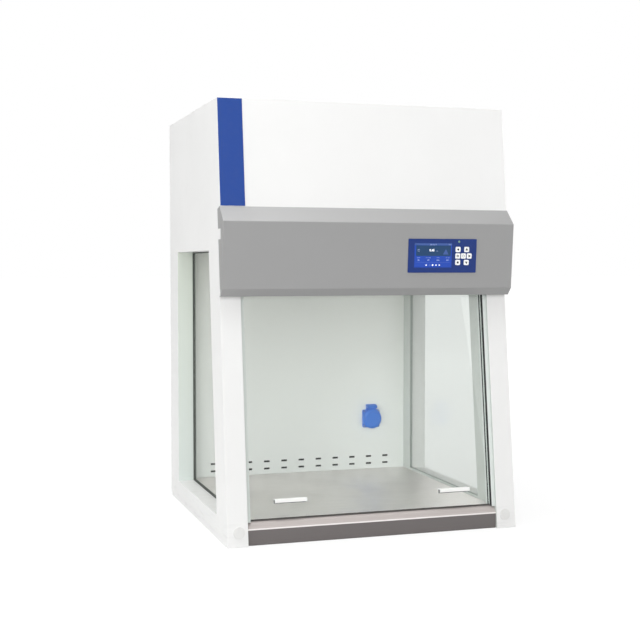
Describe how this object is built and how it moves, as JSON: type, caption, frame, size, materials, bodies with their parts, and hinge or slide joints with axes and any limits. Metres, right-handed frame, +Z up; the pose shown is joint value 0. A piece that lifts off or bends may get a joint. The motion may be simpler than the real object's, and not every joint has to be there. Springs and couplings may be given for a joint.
{
  "type": "biological safety cabinet",
  "caption": "Compact bench cabinet with leaning columns, side windows, a sliding glass sash, a folded console with keys and screen, slotted back wall, filters and blower.",
  "frame": {"origin": "centre of the footprint, on the surface that the cabinet stands on", "axes": "+X right, +Y towards the back, +Z up, front faces -Y"},
  "size_m": [0.703, 0.66, 0.995],
  "materials": {
    "white_paint": "satin powder coat",
    "grey_paint": "satin",
    "blue_plate": "gloss",
    "stainless": "brushed",
    "galvanised": "plain",
    "screw_steel": "bright",
    "glass": "clear",
    "screen_glass": "gloss",
    "lamp_lens": "gloss",
    "black_rubber": "matte",
    "white_plastic": "fine texture",
    "blue_plastic": "satin",
    "black_plastic": "fine texture",
    "board": "satin",
    "filter_metal": "satin",
    "filter_paper": "matte",
    "motor_paint": "satin",
    "lamp_glass": "milky"
  },
  "bodies": {
    "cabinet": {"base_pan": "galvanised", "blower_housing": "galvanised", "ceiling_diffuser": "white_paint", "column_cap_left": "white_plastic", "column_cap_right": "white_plastic", "console_cover": "grey_paint", "control_bezel": "blue_plate", "control_board": "board", "display_module": "screen_glass", "exhaust_filter_frame": "filter_metal", "exhaust_filter_pack": "filter_paper", "exhaust_grille": "white_paint", "front_baffle": "white_paint", "front_lip": "stainless", "fuse_drawer": "black_plastic", "guide_rail_left": "white_paint", "guide_rail_right": "white_paint", "inner_liner_left": "white_paint", "inner_liner_right": "white_paint", "interior_back_wall": "white_paint", "key_switches": "black_plastic", "motor": "motor_paint", "power_inlet": "black_plastic", "rail_seals": "black_rubber", "rear_panel": "white_paint", "rear_panel_screws": "screw_steel", "side_panel_left": "white_paint", "side_panel_right": "white_paint", "socket_base": "blue_plastic", "socket_hinge_pin": "screw_steel", "socket_screws": "screw_steel", "status_lamp": "lamp_lens", "supply_filter_frame": "filter_metal", "supply_filter_pack": "filter_paper", "top_panel": "white_paint", "trim_strip": "blue_plate", "upper_front_panel": "white_paint", "uv_lamp_holders": "white_plastic", "uv_lamp_tube": "lamp_glass", "window_gasket_left": "black_rubber", "window_gasket_right": "black_rubber", "window_glass_left": "glass", "window_glass_right": "glass", "work_lamp_holders": "white_plastic", "work_lamp_tube": "lamp_glass", "worktop": "stainless"},
    "sash": {"sash_glass": "glass", "sash_seal": "black_rubber", "sash_handle_left": "white_plastic", "sash_handle_right": "white_plastic"},
    "socket_cover": {"socket_lid": "blue_plastic"},
    "fan_rotor": {"impeller": "filter_metal", "motor_shaft": "screw_steel"},
    "key_1_button": {"key_1": "white_plastic"},
    "key_2_button": {"key_2": "white_plastic"},
    "key_3_button": {"key_3": "white_plastic"},
    "key_4_button": {"key_4": "white_plastic"},
    "key_5_button": {"key_5": "white_plastic"},
    "key_6_button": {"key_6": "white_plastic"},
    "key_7_button": {"key_7": "white_plastic"}
  },
  "joints": [
    {"name": "sash_slide", "type": "slide", "parent": "cabinet", "child": "sash", "axis": [0, 0.1191, 0.9929], "range_m": [0, 0.355]},
    {"name": "socket_lid_hinge", "type": "hinge", "parent": "cabinet", "child": "socket_cover", "pos_m": [0.2033, 0.2573, 0.2257], "axis": [-1, 0, 0], "range_deg": [0, 110], "stiffness_Nm_per_rad": 0.05, "springref_deg": -20.05},
    {"name": "impeller_spin", "type": "hinge", "parent": "cabinet", "child": "fan_rotor", "pos_m": [-0.14, 0.22, 0.877], "axis": [0, 1, 0], "continuous": true},
    {"name": "key_1_press", "type": "slide", "parent": "cabinet", "child": "key_1_button", "axis": [0, 0.9968, 0.0799], "range_m": [0, 0.0008], "stiffness_N_per_m": 1500},
    {"name": "key_2_press", "type": "slide", "parent": "cabinet", "child": "key_2_button", "axis": [0, 0.9968, 0.0799], "range_m": [0, 0.0008], "stiffness_N_per_m": 1500},
    {"name": "key_3_press", "type": "slide", "parent": "cabinet", "child": "key_3_button", "axis": [0, 0.9968, 0.0799], "range_m": [0, 0.0008], "stiffness_N_per_m": 1500},
    {"name": "key_4_press", "type": "slide", "parent": "cabinet", "child": "key_4_button", "axis": [0, 0.9968, 0.0799], "range_m": [0, 0.0008], "stiffness_N_per_m": 1500},
    {"name": "key_5_press", "type": "slide", "parent": "cabinet", "child": "key_5_button", "axis": [0, 0.9968, 0.0799], "range_m": [0, 0.0008], "stiffness_N_per_m": 1500},
    {"name": "key_6_press", "type": "slide", "parent": "cabinet", "child": "key_6_button", "axis": [0, 0.9968, 0.0799], "range_m": [0, 0.0008], "stiffness_N_per_m": 1500},
    {"name": "key_7_press", "type": "slide", "parent": "cabinet", "child": "key_7_button", "axis": [0, 0.9968, 0.0799], "range_m": [0, 0.0008], "stiffness_N_per_m": 1500}
  ]
}
